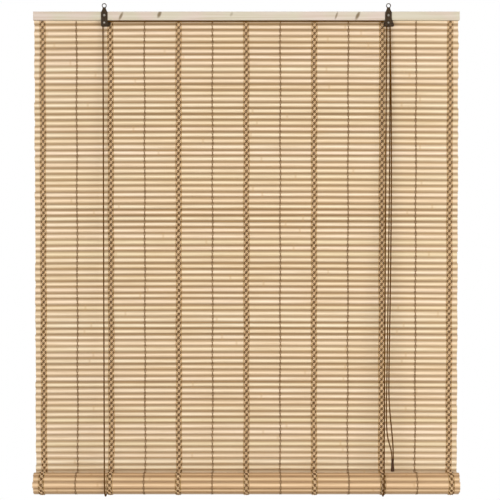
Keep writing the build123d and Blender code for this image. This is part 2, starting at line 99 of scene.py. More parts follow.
@dataclass(frozen=True)
class Layout:
    """Shared sizes of the blind in metres, in the frame of its solids."""

    width: float = 1.0
    slat_width: float = 0.013
    slat_gap: float = 0.00107
    slat_thickness: float = 0.0036
    slat_edge: float = 0.001  # thickness of a slat at its edges
    hanging: int = 77
    mat_top: float = -0.0279
    mat_front: float = 0.01355
    mat_back: float = 0.01715
    roll_radius: float = 0.0278
    roll_lead: float = 0.009  # from the mat's foot down to the roll's axis
    rod_radius: float = 0.008
    layer: float = 0.0062  # from one turn of the roll to the next
    warp_pitch: float = 0.08
    band_steps: Tuple[int, ...] = (-6, -4, -2, 0, 2, 4, 6)
    thread_steps: Tuple[int, ...] = (-5, -3, -1, 1, 3, 5)
    hanger_x: float = 0.333
    axle_z: float = -0.0394
    cord_radius: float = 0.0015
    lift: float = 0.9  # how far the roll rises
    seat: float = 0.0001  # gap between parts that touch

    @property
    def pitch(self) -> float:
        """Distance from one slat to the next."""
        return self.slat_width + self.slat_gap

    @property
    def mat_foot(self) -> float:
        """Height where the mat begins to bend round the roll."""
        return self.mat_top - self.hanging * self.pitch

    @property
    def roll_z(self) -> float:
        """Height of the roll's axis."""
        return self.mat_foot - self.roll_lead

    @property
    def roll_y(self) -> float:
        """Depth of the roll's axis."""
        return self.mat_back - self.roll_radius

    @property
    def kept(self) -> int:
        """How many slats still hang when the blind is raised."""
        return int((self.mat_top - self.mat_foot - self.lift) / self.pitch)

    @property
    def gather_z(self) -> float:
        """Height below which the mat is taken up by the roll."""
        return self.mat_top - self.kept * self.pitch

    def wound_places(self) -> List[Tuple[float, float]]:
        """Radius and angle of each slat on the roll, from the hanging mat inwards.

        Returns:
            One (radius, angle) pair for each wound slat.
        """
        places = []
        shrink = self.layer / math.tau
        angle = (self.pitch / 2 - self.roll_lead) / self.roll_radius
        radius = self.roll_radius - shrink * angle
        while radius - self.slat_thickness - self.seat > self.rod_radius:
            places.append((radius, angle))
            angle += self.pitch / radius
            radius = self.roll_radius - shrink * angle
        return places


LAYOUT = Layout()


def linear(code: str) -> Colour:
    """Turn an sRGB hex colour to linear light.

    Args:
        code: Colour such as "d8b98a".

    Returns:
        Red, green, blue and alpha.
    """
    parts = [int(code[start : start + 2], 16) / 255 for start in (0, 2, 4)]
    red, green, blue = [
        value / 12.92 if value <= 0.04045 else ((value + 0.055) / 1.055) ** 2.4 for value in parts
    ]
    return (red, green, blue, 1.0)


def feed(tree: NodeTree, node: Node, inputs: Inputs) -> None:
    """Set a node's inputs to values and colours, or link them.

    Args:
        tree: Node tree that the node is in.
        node: The node.
        inputs: A value, a hex colour or the socket to link from, by input name or index.
    """
    for key, source in inputs.items():
        if isinstance(source, NodeSocket):
            tree.links.new(source, node.inputs[key])
        else:
            node.inputs[key].default_value = linear(source) if isinstance(source, str) else source


def add_node(
    tree: NodeTree, kind: str, inputs: Inputs, out: Union[int, str] = 0, **settings: Any
) -> NodeSocket:
    """Add a shader node with its settings, input values and links.

    Args:
        tree: Node tree that the node goes into.
        kind: Blender's name of the node type, after "ShaderNode".
        inputs: A value, a hex colour or the socket to link from, by input name or index.
        out: Name or index of the wanted output.
        **settings: Properties of the node.

    Returns:
        The wanted output of the new node.
    """
    node = tree.nodes.new(f"ShaderNode{kind}")
    for name, value in settings.items():
        setattr(node, name, value)
    feed(tree, node, inputs)
    return node.outputs[out]


def new_material(name: str) -> Tuple[Material, NodeTree, Node]:
    """Start a material with only its surface shader.

    Args:
        name: Name of the material.

    Returns:
        The material, its node tree and its Principled shader.
    """
    material = bpy.data.materials.new(name)
    material.use_nodes = True
    tree = material.node_tree
    return material, tree, tree.nodes["Principled BSDF"]


@dataclass(frozen=True)
class BambooFinish:
    """Split bamboo, planed: glossy crest, flanks browned with painted shade between the slats (partly their
    own browner tone) and a plain flat back.
    """

    name: str
    pale: str
    warm: str
    rosy: str
    green: str
    fibre: str
    # flank is the painted shade towards each slat's edges, front and back, partly the bamboo's own browner
    # edge
    flank: str
    back: str
    flank_shade_share: float
    front_tint: float = 0.35
    back_tint: float = 0.2
    roughness: float = 0.5
    fibre_width: float = 0.0022  # coarser than real fibres, so that it shows
    fibre_length: float = 0.12
    blotch: float = 0.111
    joint_spacing: float = 0.37
    joint_width: float = 0.004
    relief: float = 0.0004

    def material(self) -> Material:
        """Build the material.

        Returns:
            The material.
        """
        material, tree, shader = new_material(self.name)
        place = add_node(tree, "TexCoord", {}, "Object")
        tone, hue, flank, back, shift = [
            add_node(tree, "Attribute", {}, "Fac", attribute_name=mark) for mark in SLAT_MARKS
        ]
        thin = 1 / self.fibre_width
        drawn = add_node(tree, "Mapping", {"Vector": place, "Scale": (1 / self.fibre_length, thin, thin)})
        fibre = add_node(tree, "TexNoise", {"Vector": drawn, "Scale": 1.0, "Detail": 3.0, "Roughness": 0.6})
        patch = add_node(tree, "TexNoise", {"Vector": place, "Scale": 1 / self.blotch, "Detail": 2.0})
        length = add_node(tree, "SeparateXYZ", {0: place})
        along = add_node(tree, "Math", {0: length, 1: shift}, operation="ADD")
        saw = add_node(tree, "Math", {0: along, 1: self.joint_spacing}, operation="PINGPONG")
        ring = {"Value": saw, "From Max": self.joint_width, "To Min": 0.35, "To Max": 0.0}
        joint = add_node(tree, "MapRange", ring)
        streak = add_node(
            tree, "MapRange", {"Value": fibre, "From Min": 0.42, "From Max": 0.75, "To Max": 0.5}
        )
        cloud = add_node(
            tree, "MapRange", {"Value": patch, "From Min": 0.35, "From Max": 0.7, "To Max": 0.35}
        )
        # Painted shade: the flank colour darkens each slat towards its edges and draws the dark lines
        # between the slats
        shade_depth = add_node(tree, "Math", {0: flank, 1: self.flank_shade_share}, operation="MULTIPLY")
        tint = add_node(tree, "Mix", {0: hue, 6: self.rosy, 7: self.green}, 2, data_type="RGBA")
        colour = self.pale
        rear = self.back
        for share, coat in ((tone, self.fibre), (self.back_tint, tint), (shade_depth, self.flank)):
            rear = add_node(tree, "Mix", {0: share, 6: rear, 7: coat}, 2, data_type="RGBA")
        for share, coat in (
            (tone, self.warm),
            (self.front_tint, tint),
            (cloud, self.warm),
            (shade_depth, self.flank),
            (back, rear),
            (streak, self.fibre),
            (joint, self.fibre),
        ):
            colour = add_node(tree, "Mix", {0: share, 6: colour, 7: coat}, 2, data_type="RGBA")
        bump = add_node(tree, "Bump", {"Height": fibre, "Strength": 0.15, "Distance": self.relief})
        feed(tree, shader, {"Base Color": colour, "Normal": bump, "Roughness": self.roughness, "IOR": 1.45})
        return material


@dataclass(frozen=True)
class YarnFinish:
    """Spun cotton or jute yarn: matt, with a soft mottling along its length."""

    name: str
    light: str
    dark: str
    mottle: float = 0.004
    relief: float = 0.0002

    def material(self) -> Material:
        """Build the material.

        Returns:
            The material.
        """
        material, tree, shader = new_material(self.name)
        place = add_node(tree, "TexCoord", {}, "Object")
        noise = add_node(tree, "TexNoise", {"Vector": place, "Scale": 1 / self.mottle, "Detail": 2.0})
        share = add_node(tree, "MapRange", {"Value": noise, "From Min": 0.35, "From Max": 0.65})
        colour = add_node(tree, "Mix", {0: share, 6: self.light, 7: self.dark}, 2, data_type="RGBA")
        fuzz = add_node(tree, "Bump", {"Height": noise, "Strength": 0.3, "Distance": self.relief})
        feed(tree, shader, {"Base Color": colour, "Normal": fuzz, "Roughness": 0.9, "IOR": 1.5})
        return material


@dataclass(frozen=True)
class Knot:
    """A knot or spike mark on the batten's face, in metres and degrees."""

    x: float
    z: float
    length: float
    width: float
    tilt: float
    depth: float


@dataclass(frozen=True)
class PineFinish:
    """Sawn and planed pine, left raw: pale, with soft grain along the batten and brown knots."""

    name: str
    pale: str
    grain: str
    rosy: str
    green: str
    knot: str
    knots: Tuple[Knot, ...]
    tint: float = 0.4
    grain_width: float = 0.005
    grain_length: float = 0.25
    patch: float = 0.0714
    relief: float = 0.0003

    def mark_share(self, tree: NodeTree, place: NodeSocket, mark: Knot) -> NodeSocket:
        """How strongly a knot colours the wood.

        Args:
            tree: Node tree of the material.
            place: Socket of the place on the batten.
            mark: The knot.

        Returns:
            Socket that is strongest in the middle of the knot.
        """
        oval = {
            "Vector": place,
            "Location": (mark.x, 0.0, mark.z),
            "Rotation": (0.0, -math.radians(mark.tilt), 0.0),
            "Scale": (mark.length / 2, 1.0, mark.width / 2),
        }
        turned = add_node(tree, "Mapping", oval, vector_type="TEXTURE")
        spot = add_node(tree, "TexGradient", {"Vector": turned}, "Fac", gradient_type="SPHERICAL")
        return add_node(tree, "MapRange", {"Value": spot, "From Max": 0.6, "To Max": mark.depth})

    def material(self) -> Material:
        """Build the material.

        Returns:
            The material.
        """
        material, tree, shader = new_material(self.name)
        place = add_node(tree, "TexCoord", {}, "Object")
        thin = 1 / self.grain_width
        drawn = add_node(tree, "Mapping", {"Vector": place, "Scale": (1 / self.grain_length, thin, thin)})
        grain = add_node(tree, "TexNoise", {"Vector": drawn, "Scale": 1.0, "Detail": 4.0, "Distortion": 0.6})
        line = add_node(tree, "MapRange", {"Value": grain, "From Min": 0.4, "From Max": 0.66})
        patch = add_node(tree, "TexNoise", {"Vector": place, "Scale": 1 / self.patch, "Detail": 1.0})
        level = add_node(tree, "MapRange", {"Value": patch, "From Min": 0.4, "From Max": 0.6})
        tint = add_node(tree, "Mix", {0: level, 6: self.rosy, 7: self.green}, 2, data_type="RGBA")
        knots = [(self.mark_share(tree, place, mark), self.knot) for mark in self.knots]
        colour = self.pale
        for share, coat in ((line, self.grain), (self.tint, tint), *knots):
            colour = add_node(tree, "Mix", {0: share, 6: colour, 7: coat}, 2, data_type="RGBA")
        ridges = add_node(tree, "Bump", {"Height": grain, "Strength": 0.2, "Distance": self.relief})
        feed(tree, shader, {"Base Color": colour, "Normal": ridges, "Roughness": 0.7, "IOR": 1.45})
        return material


@dataclass(frozen=True)
class SmoothFinish:
    """Lacquer, plating or moulded plastic: one colour, mottled and dulled in places by handling."""

    name: str
    colour: str
    worn: str
    roughness: float
    grit: float  # size of the mottling in metres, coarser than life so that it shows
    metallic: float = 0.0
    specular: float = 0.5
    gloss_spread: float = 0.1
    relief: float = 0.00005

    def material(self) -> Material:
        """Build the material.

        Returns:
            The material.
        """
        material, tree, shader = new_material(self.name)
        place = add_node(tree, "TexCoord", {}, "Object")
        specks = {"Vector": place, "Scale": 1 / self.grit, "Detail": 4.0, "Roughness": 0.6}
        mottle = add_node(tree, "TexNoise", specks)
        scuff = add_node(
            tree, "MapRange", {"Value": mottle, "From Min": 0.45, "From Max": 0.7, "To Max": 0.8}
        )
        ends = {"To Min": self.roughness - self.gloss_spread, "To Max": self.roughness + self.gloss_spread}
        gloss = add_node(tree, "MapRange", {"Value": mottle, "From Min": 0.3, "From Max": 0.7, **ends})
        colour = add_node(tree, "Mix", {0: scuff, 6: self.colour, 7: self.worn}, 2, data_type="RGBA")
        bump = add_node(tree, "Bump", {"Height": mottle, "Strength": 0.3, "Distance": self.relief})
        feed(tree, shader, {"Base Color": colour, "Normal": bump, "Roughness": gloss})
        feed(tree, shader, {"Metallic": self.metallic, "Specular IOR Level": self.specular})
        return material


@dataclass(frozen=True)
class CordFinish:
    """Braided polyester cord: matt brown with a fine crossing pattern, drawn coarser than life."""

    name: str
    light: str
    dark: str
    braid: float = 0.0022
    braid_tilt: float = 35.0
    relief: float = 0.0004

    def material(self) -> Material:
        """Build the material.

        Returns:
            The material.
        """
        material, tree, shader = new_material(self.name)
        place = add_node(tree, "TexCoord", {}, "Object")
        waves = {}
        for index, tilt in enumerate((self.braid_tilt, -self.braid_tilt)):
            turn = (0.0, math.radians(tilt), 0.0)
            turned = add_node(tree, "Mapping", {"Vector": place, "Rotation": turn})
            wave = {"Vector": turned, "Scale": WAVE_PERIOD / self.braid}
            waves[index] = add_node(tree, "TexWave", wave, "Fac", bands_direction="Z")
        cross = add_node(tree, "Math", waves, operation="MULTIPLY")
        colour = add_node(tree, "Mix", {0: cross, 6: self.dark, 7: self.light}, 2, data_type="RGBA")
        bump = add_node(tree, "Bump", {"Height": cross, "Strength": 0.4, "Distance": self.relief})
        feed(tree, shader, {"Base Color": colour, "Normal": bump})
        feed(tree, shader, {"Roughness": 0.8, "Specular IOR Level": 0.08})
        return material


class Palette:
    """Every finish of the blind, built once."""

    def __init__(self) -> None:
        """Build the materials."""
        # Planed bamboo outside: cream crests, and brown painted shade on the flanks, partly their own
        # browner tone, that draws the lines between the slats
        self.slat = BambooFinish(
            name="bamboo_slat",
            pale="f7e2c6",
            warm="ead0a8",
            rosy="f5d8be",
            green="e6dab2",
            fibre="b8925f",
            flank="866740",
            back="edca9f",
            flank_shade_share=0.95,
        ).material()
        # Split bamboo backs: flat, streaky and a warmer tan, with painted shade towards the edges of each
        # back that draws the lines between the wound slats
        self.roll_slat = BambooFinish(
            name="bamboo_slat_back",
            pale="e0bd92",
            warm="c99f70",
            rosy="e2b792",
            green="d6c08e",
            fibre="b28757",
            flank="a17c55",
            back="f3d2a8",
            flank_shade_share=1.0,
        ).material()
        # Spun yarns: a tan ground with brown and cream crossing it, which gives the bands their zigzag
        self.band_yarns = (
            YarnFinish("tan_warp_yarn", "c9a46b", "ac884f").material(),
            YarnFinish("brown_warp_yarn", "6e4926", "4d3017").material(),
            YarnFinish("cream_warp_yarn", "f0d0a6", "dcb588").material(),
        )
        # Twisted thread: a thin brown line down the mat
        self.thread = YarnFinish("brown_warp_thread", "9c7a52", "7d5f3c").material()
        # Raw pine: the palest part, with faint rosy and green patches and a few olive knots
        self.pine = PineFinish(
            name="raw_pine",
            pale="d0c6ba",
            grain="c0b19d",
            rosy="d5bdaf",
            green="c9c3a3",
            knot="6b5632",
            knots=(
                Knot(-0.294, -0.024, 0.026, 0.008, 64.0, 0.8),
                Knot(-0.204, -0.020, 0.022, 0.011, 66.0, 0.85),
                Knot(-0.035, -0.020, 0.014, 0.008, 60.0, 0.35),
                Knot(0.211, -0.023, 0.024, 0.006, 70.0, 0.7),
                Knot(0.261, -0.023, 0.028, 0.010, 64.0, 0.85),
            ),
        ).material()
        # Brown lacquer on stamped steel: nearly black, with a dull sheen
        self.lacquer = SmoothFinish(
            "brown_lacquered_steel", "322414", "4a3923", roughness=0.55, grit=0.004, specular=0.15
        ).material()
        # Nickel plate: the small bright dots of screws and rivets
        self.nickel = SmoothFinish(
            "nickel_plated_steel", "a39c92", "827a70", roughness=0.42, grit=0.0015, metallic=1.0
        ).material()
        # Browned steel: dark pins, cam and tacks with a metal glint
        self.dark_steel = SmoothFinish(
            "browned_steel", "46352a", "5e4c3d", roughness=0.4, grit=0.0015, metallic=0.8
        ).material()
        # Zinc plate: plain grey wire with a soft shine
        self.zinc = SmoothFinish(
            "zinc_plated_wire", "aeada9", "908f8a", roughness=0.35, grit=0.0015, metallic=1.0
        ).material()
        # Moulded nylon: matt dark brown
        self.plastic = SmoothFinish(
            "brown_moulded_nylon", "3f2612", "543720", roughness=0.6, grit=0.003, specular=0.2
        ).material()
        # Braided cord: matt brown with a fine crossing grain
        self.cord = CordFinish("braided_cord", light="7d531f", dark="4a2d0c").material()


def bake(name: str, shape: bmesh.types.BMesh, material: Optional[Material] = None) -> Mesh:
    """Turn a finished shape to a mesh.

    Args:
        name: Name of the mesh.
        shape: The shape, which is freed.
        material: Material that the mesh wears, if any.

    Returns:
        The mesh.
    """
    mesh = bpy.data.meshes.new(name)
    shape.to_mesh(mesh)
    shape.free()
    if material:
        mesh.materials.append(material)
    return mesh


def show(data: ID) -> Object:
    """Link a new object for a mesh, curve, camera or lamp, under its name and at the origin.

    Args:
        data: What the object shows.

    Returns:
        The object.
    """
    piece = bpy.data.objects.new(data.name, data)
    bpy.context.scene.collection.objects.link(piece)
    return piece


def settle(piece: Object, body: Body, node: str) -> Object:
    """Make a piece ride on its body and stand for its solid.

    Args:
        piece: The finished piece.
        body: Body that it moves with.
        node: Solid that it replaces.

    Returns:
        The same piece.
    """
    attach(piece, body.value)
    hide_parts(node)
    log.info("%s rides on %s, %d faces", piece.name, body.value, len(piece.data.polygons))
    return piece


def gather(piece: Object) -> None:
    """Give a hanging piece that is taken up as the blind is drawn up its own copy of its mesh.

    Args:
        piece: The piece.
    """
    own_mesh(piece)


@dataclass
class Strand:
    """One strand: its points, its material's place in the piece and its share of the radius."""

    points: Sequence[Point]
    material: int = 0
    scale: float = 1.0


def strand_mesh(
    name: str,
    strands: Sequence[Strand],
    radius: float = 0.0,
    quarter_steps: int = 0,
    materials: Sequence[Material] = (),
    smooth: bool = False,
    line_steps: int = 10,
) -> Mesh:
    """Make round strands along points, or bare lines where the radius is zero.

    Args:
        name: Name of the mesh.
        strands: The strands.
        radius: Radius of a strand in metres.
        quarter_steps: Bevel steps on a quarter of the strand's section.
        materials: Materials that the strands choose from.
        smooth: Whether the points are the control points of a smooth line.
        line_steps: Steps of a smooth line from one control point to the next.

    Returns:
        The mesh of all the strands.
    """
    curve = bpy.data.curves.new(name, "CURVE")
    curve.dimensions = "3D"
    curve.bevel_depth = radius
    curve.bevel_resolution = quarter_steps
    curve.use_fill_caps = True
    for material in materials:
        curve.materials.append(material)
    for strand in strands:
        spline = curve.splines.new("NURBS" if smooth else "POLY")
        spline.points.add(len(strand.points) - 1)
        for spot, place in zip(spline.points, strand.points):
            spot.co = (*place, 1.0)
            spot.radius = strand.scale
        spline.material_index = strand.material
        if smooth:
            spline.order_u = 3
            spline.use_endpoint_u = True
            spline.resolution_u = line_steps
    holder = show(curve)
    graph = bpy.context.evaluated_depsgraph_get()
    mesh = bpy.data.meshes.new_from_object(holder.evaluated_get(graph))
    mesh.name = name
    bpy.data.objects.remove(holder)
    bpy.data.curves.remove(curve)
    for polygon in mesh.polygons:
        polygon.use_smooth = True
    return mesh


def route_line(points: Sequence[Point]) -> List[Point]:
    """Read the smooth line of a route as Blender draws it.

    Args:
        points: Control points of the route.

    Returns:
        Points along the line.
    """
    mesh = strand_mesh("route", [Strand(points)], smooth=True, line_steps=12)
    line = [tuple(vertex.co) for vertex in mesh.vertices]
    bpy.data.meshes.remove(mesh)
    return line


@dataclass
class SlatMaker:
    """Shapes split bamboo slats that all differ a little."""

    layout: Layout
    material: Material
    seed: int
    cuts: int = 22
    crown_steps: int = 7
    # These shares set where painted shade darkens a slat towards its edges, on the front and on the back
    crown_flat: float = 0.22  # share of the front that keeps its crest colour
    crown_ramp: float = 0.45  # share of the front where the flank colour grows
    back_flat: float = 0.55  # share of the back that keeps its plain colour
    back_edge: float = 0.9  # share of the back where its edge colour is full
    close: float = 0.00085  # how much wider than the solids on each side, as slats all but touch
    width_spread: float = 0.00012
    depth_spread: float = 0.00025
    end_spread: float = 0.0014
    end_excess: float = 0.2  # share of the end spread that goes past the solid
    end_shade_fade: float = 0.16  # painted light: how far the flanks' painted shade thins towards the slat ends
    # least depth of the flanks' painted shade, drawn at random for each slat
    least_shade_depth: float = 0.72
    tone_power: float = 1.5  # over 1, so that most slats are pale
    shift_spread: float = 5.0  # how far the joints' places differ from slat to slat, in metres
    bow: float = 0.0013
    bow_spread: float = 0.0002
    lean_share: float = 0.6  # of the bow's spread
    ripple: float = 0.00012
    ripple_rate: float = 7.0  # in radians over half a slat
    chance: random.Random = field(init=False)

    def __post_init__(self) -> None:
        """Start the seeded draws."""
        self.chance = random.Random(self.seed)

    @property
    def half_width(self) -> float:
        """Half the width of a slat."""
        return self.layout.slat_width / 2 + self.close

    def section(self) -> List[Tuple[float, float]]:
        """Outline of a slat: flat back at depth 0, round front towards the room.

        Returns:
            (depth, height) points in metres.
        """
        sizes = self.layout
        half = self.half_width
        rise = sizes.slat_thickness - sizes.slat_edge
        shares = (self.back_flat, self.back_edge, 1.0)
        points = [(0.0, -half * share) for share in reversed(shares)]
        points += [(0.0, half * share) for share in shares]
        for step in range(self.crown_steps + 1):
            height = half * (1 - 2 * step / self.crown_steps)
            points.append((-sizes.slat_edge - rise * (1 - (height / half) ** 2), height))
        return points

    def template(self) -> Mesh:
        """Make one plain slat, cut along its length so that it can bow.

        Returns:
            The slat's mesh, centred on its own back.
        """
        half_length = self.layout.width / 2
        shape = bmesh.new()
        rim = [shape.verts.new((-half_length, depth, height)) for depth, height in self.section()]
        face = shape.faces.new(rim)
        moved = bmesh.ops.extrude_face_region(shape, geom=[face])["geom"]
        far = [item for item in moved if isinstance(item, bmesh.types.BMVert)]
        bmesh.ops.translate(shape, verts=far, vec=(self.layout.width, 0, 0))
        lengthwise = [
            edge
            for edge in shape.edges
            if abs(edge.verts[0].co.x - edge.verts[1].co.x) > half_length
        ]
        bmesh.ops.subdivide_edges(shape, edges=lengthwise, cuts=self.cuts, use_grid_fill=True)
        bmesh.ops.recalc_face_normals(shape, faces=shape.faces)
        for side in shape.faces:
            side.smooth = True
        return bake("slat_template", shape)

    def flank_shade_share(self, depth: float, height: float) -> float:
        """How much of the flanks' painted shade a place on a slat has.

        Args:
            depth: Depth of the place on the plain slat.
            height: Height of the place on the plain slat.

        Returns:
            Share from 0 on the crest or the middle of the back to 1 at the edge.
        """
        rear = depth > -HAIR
        inner = self.back_flat if rear else self.crown_flat
        ramp = self.back_edge - self.back_flat if rear else self.crown_ramp
        return min(1.0, max(0.0, (abs(height) / self.half_width - inner) / ramp))

    def build(self, name: str, places: Sequence[Matrix], bowed: bool) -> Mesh:
        """Make a set of slats.

        Args:
            name: Name of the mesh.
            places: Where each slat's back goes.
            bowed: Whether the slats hang free and bow a little.

        Returns:
            One mesh of separate slats with their marks.
        """
        template = self.template()
        shape = bmesh.new()
        layers = {mark: shape.verts.layers.float.new(mark) for mark in SLAT_MARKS}
        half_length = self.layout.width / 2
        draw = self.chance.uniform
        for place in places:
            first = len(shape.verts)
            shape.from_mesh(template)
            shape.verts.ensure_lookup_table()
            marks = {"tone": self.chance.random() ** self.tone_power, "hue": self.chance.random()}
            shade_depth = draw(self.least_shade_depth, 1.0)
            marks["shift"] = draw(0, self.shift_spread)
            broad = 1 + draw(-1, 1) * self.width_spread / self.half_width
            deep = 1 + draw(-1, 1) * self.depth_spread / self.layout.slat_thickness
            bow = self.bow + draw(-1, 1) * self.bow_spread
            lean = draw(-1, 1) * self.bow_spread * self.lean_share
            sway = draw(0, math.tau)
            ends = [draw(-1, self.end_excess) * self.end_spread for _ in (0, 1)]
            for vertex in shape.verts[first:]:
                x, depth, height = vertex.co
                share = x / half_length
                # Painted shade on the flanks, thinned towards the slat ends as painted light
                marks["flank"] = shade_depth * (1 - self.end_shade_fade * abs(share) ** 3)
                marks["flank"] *= self.flank_shade_share(depth, height)
                marks["back"] = 1.0 if depth > -HAIR else 0.0
                for mark, value in marks.items():
                    vertex[layers[mark]] = value
                x += ends[1] * share if share > 0 else ends[0] * share
                height *= broad
                if bowed:
                    height += bow * (1 - share**2) + lean * share
                    height += self.ripple * math.sin(share * self.ripple_rate + sway)
                vertex.co = place @ Vector((x, depth * deep, height))
        mesh = bake(name, shape, self.material)
        bpy.data.meshes.remove(template)
        mesh.set_sharp_from_angle(angle=CREASE)
        return mesh


@dataclass
class HangingMat:
    """The slats that hang from the batten, in a part that stays and a part that is taken up."""

    layout: Layout
    palette: Palette
    seed: int = 11

    def build(self) -> None:
        """Make both parts of the mat."""
        sizes = self.layout
        maker = SlatMaker(sizes, self.palette.slat, self.seed)
        places = [
            Matrix.Translation((0, sizes.mat_back, sizes.mat_top - (index + 0.5) * sizes.pitch))
            for index in range(sizes.hanging)
        ]
        pieces = []
        for name, part in (
            ("hanging_slats_upper", places[: sizes.kept]),
            ("hanging_slats_lower", places[sizes.kept :]),
        ):
            mesh = maker.build(name, part, bowed=True)
            pieces.append(settle(show(mesh), Body.HEADRAIL, "slat_mat"))
        gather(pieces[1])


@dataclass
class Warps:
    """Woven bands and thin threads that bind the slats."""

    layout: Layout
    palette: Palette
    band_width: float = 0.014
    ground_yarns: int = 5
    ground_scale: float = 1.1
    ground_steps: int = 4  # points on each slat
    cross_yarns: int = 4  # brown and cream by turns
    cross_scale: float = 1.1
    cross_steps: int = 6  # points on each slat, also for the threads
    cross_period: float = 2.0  # in slats
    cross_rise: float = 1.1  # in yarn radii off the mat
    cross_swing: float = 0.5  # in yarn radii, where crossing yarns pass each other
    yarn_radius: float = 0.00075
    thread_radius: float = 0.0008
    thread_sway: float = 0.0016
    thread_lift: float = 0.0004
    dip: float = 0.0021  # how deep a warp sinks between two slats
    back_dip_share: float = 0.35  # of the dip, on the flat backs
    stand_off: float = 0.0004
    foot_gap: float = 0.0003
    drift: float = 0.0006
    drift_rate: float = 31.0  # in radians a metre down the mat
    drift_shift: float = 17.0  # in radians a metre across the mat

    def face_depth(self, z: float, side: Side) -> float:
        """Depth of a warp's middle on the mat.

        Args:
            z: Height in metres.
            side: Face of the mat.

        Returns:
            Depth in metres.
        """
        sizes = self.layout
        share = ((sizes.mat_top - z) / sizes.pitch) % 1.0
        off = abs(share - 0.5) * 2
        if side is Side.ROOM:
            return sizes.mat_front - self.stand_off + self.dip * off**2
        return sizes.mat_back + self.stand_off - self.dip * self.back_dip_share * off**6

    def stations(self, x: float, top: float, foot: float, side: Side, steps: int) -> List[Station]:
        """Stations of a warp down one face of the mat.

        Args:
            x: Middle of the warp in metres.
            top: Upper end in metres.
            foot: Lower end in metres.
            side: Face of the mat.
            steps: Stations on each slat.

        Returns:
            How many slats have gone by at each station, and its frame, with Y off the mat.
        """
        sizes = self.layout
        outwards = Matrix.Scale(side.value, 4, (0, 1, 0))
        count = max(2, round((top - foot) / sizes.pitch * steps))
        found = []
        for index in range(count + 1):
            z = top + (foot - top) * index / count
            stray = self.drift * math.sin(z * self.drift_rate + x * self.drift_shift)
            place = Matrix.Translation((stray, self.face_depth(z, side), z)) @ outwards
            found.append(((sizes.mat_top - z) / sizes.pitch, place))
        return found

    def cross_offset(self, slats: float, index: int) -> Tuple[float, float]:
        """Where a crossing yarn lies in its band.

        Args:
            slats: How many slats it has come past.
            index: Which of the crossing yarns it is.

        Returns:
            Sideways offset and lift off the mat, in metres.
        """
        share = (slats / self.cross_period + index / self.cross_yarns) % 1.0
        across = 4 * abs(share - 0.5) - 1
        reach = self.band_width / 2 - self.yarn_radius
        rise = self.cross_rise + self.cross_swing * math.sin(math.tau * share)
        return across * reach, self.yarn_radius * rise

    def band_strands(self, x: float, coarse: List[Station], fine: List[Station]) -> List[Strand]:
        """Strands of a woven band.

        Args:
            x: Middle of the band in metres.
            coarse: Stations of its ground yarns.
            fine: Stations of its crossing yarns.

        Returns:
            Ground yarns and crossing yarns.
        """
        spread = self.band_width - 2 * self.yarn_radius
        strands = []
        for index in range(self.ground_yarns):
            spot = Vector((x + spread * (index / (self.ground_yarns - 1) - 0.5), 0, 0))
            strands.append(Strand([tuple(place @ spot) for _, place in coarse], 0, self.ground_scale))
        for index in range(self.cross_yarns):
            points = []
            for slats, place in fine:
                offset, lift = self.cross_offset(slats, index)
                points.append(tuple(place @ Vector((x + offset, lift, 0))))
            strands.append(Strand(points, 1 + index % 2, self.cross_scale))
        return strands

    def thread_strands(self, x: float, fine: List[Station], lift: float) -> List[Strand]:
        """Two strands of a thin thread that twist about each other between the slats.

        Args:
            x: Middle of the thread in metres.
            fine: Its stations.
            lift: How far the strands rise and sink as they twist, in metres.

        Returns:
            The two strands.
        """
        strands = []
        for phase in (0.0, math.pi):
            points = []
            for slats, place in fine:
                angle = math.pi * slats + phase
                spot = Vector((x + self.thread_sway * math.cos(angle), lift * math.sin(angle), 0))
                points.append(tuple(place @ spot))
            strands.append(Strand(points))
        return strands

    def hang(self, name: str, node: str, x: float, band: bool) -> None:
        """Make a hanging warp in the part that stays and the part that is taken up.

        Args:
            name: Name of the pieces.
            node: Solid that they stand for.
            x: Middle of the warp in metres.
            band: Whether it is a broad band.
        """
        sizes = self.layout
        radius = self.yarn_radius if band else self.thread_radius
        yarns = self.palette.band_yarns if band else (self.palette.thread,)
        pieces = []
        for part, top, foot in (
            ("upper", sizes.mat_top, sizes.gather_z),
            ("lower", sizes.gather_z, sizes.mat_foot + self.foot_gap),
        ):
            strands = []
            for side in Side:
                fine = self.stations(x, top, foot, side, self.cross_steps)
                if band:
                    coarse = self.stations(x, top, foot, side, self.ground_steps)
                    strands += self.band_strands(x, coarse, fine)
                else:
                    strands += self.thread_strands(x, fine, side.value * self.thread_lift)
            mesh = strand_mesh(f"{name}_{part}", strands, radius, materials=yarns)
            pieces.append(settle(show(mesh), Body.HEADRAIL, node))
        gather(pieces[1])

    def build(self) -> None:
        """Make every hanging band and thread."""
        sizes = self.layout
        for index, step in enumerate(sizes.band_steps, start=1):
            self.hang(f"woven_band_{index}", f"warp_band_{index}", step * sizes.warp_pitch, True)
        for index, step in enumerate(sizes.thread_steps, start=1):
            self.hang(f"binding_thread_{index}", f"warp_thread_{index}", step * sizes.warp_pitch, False)


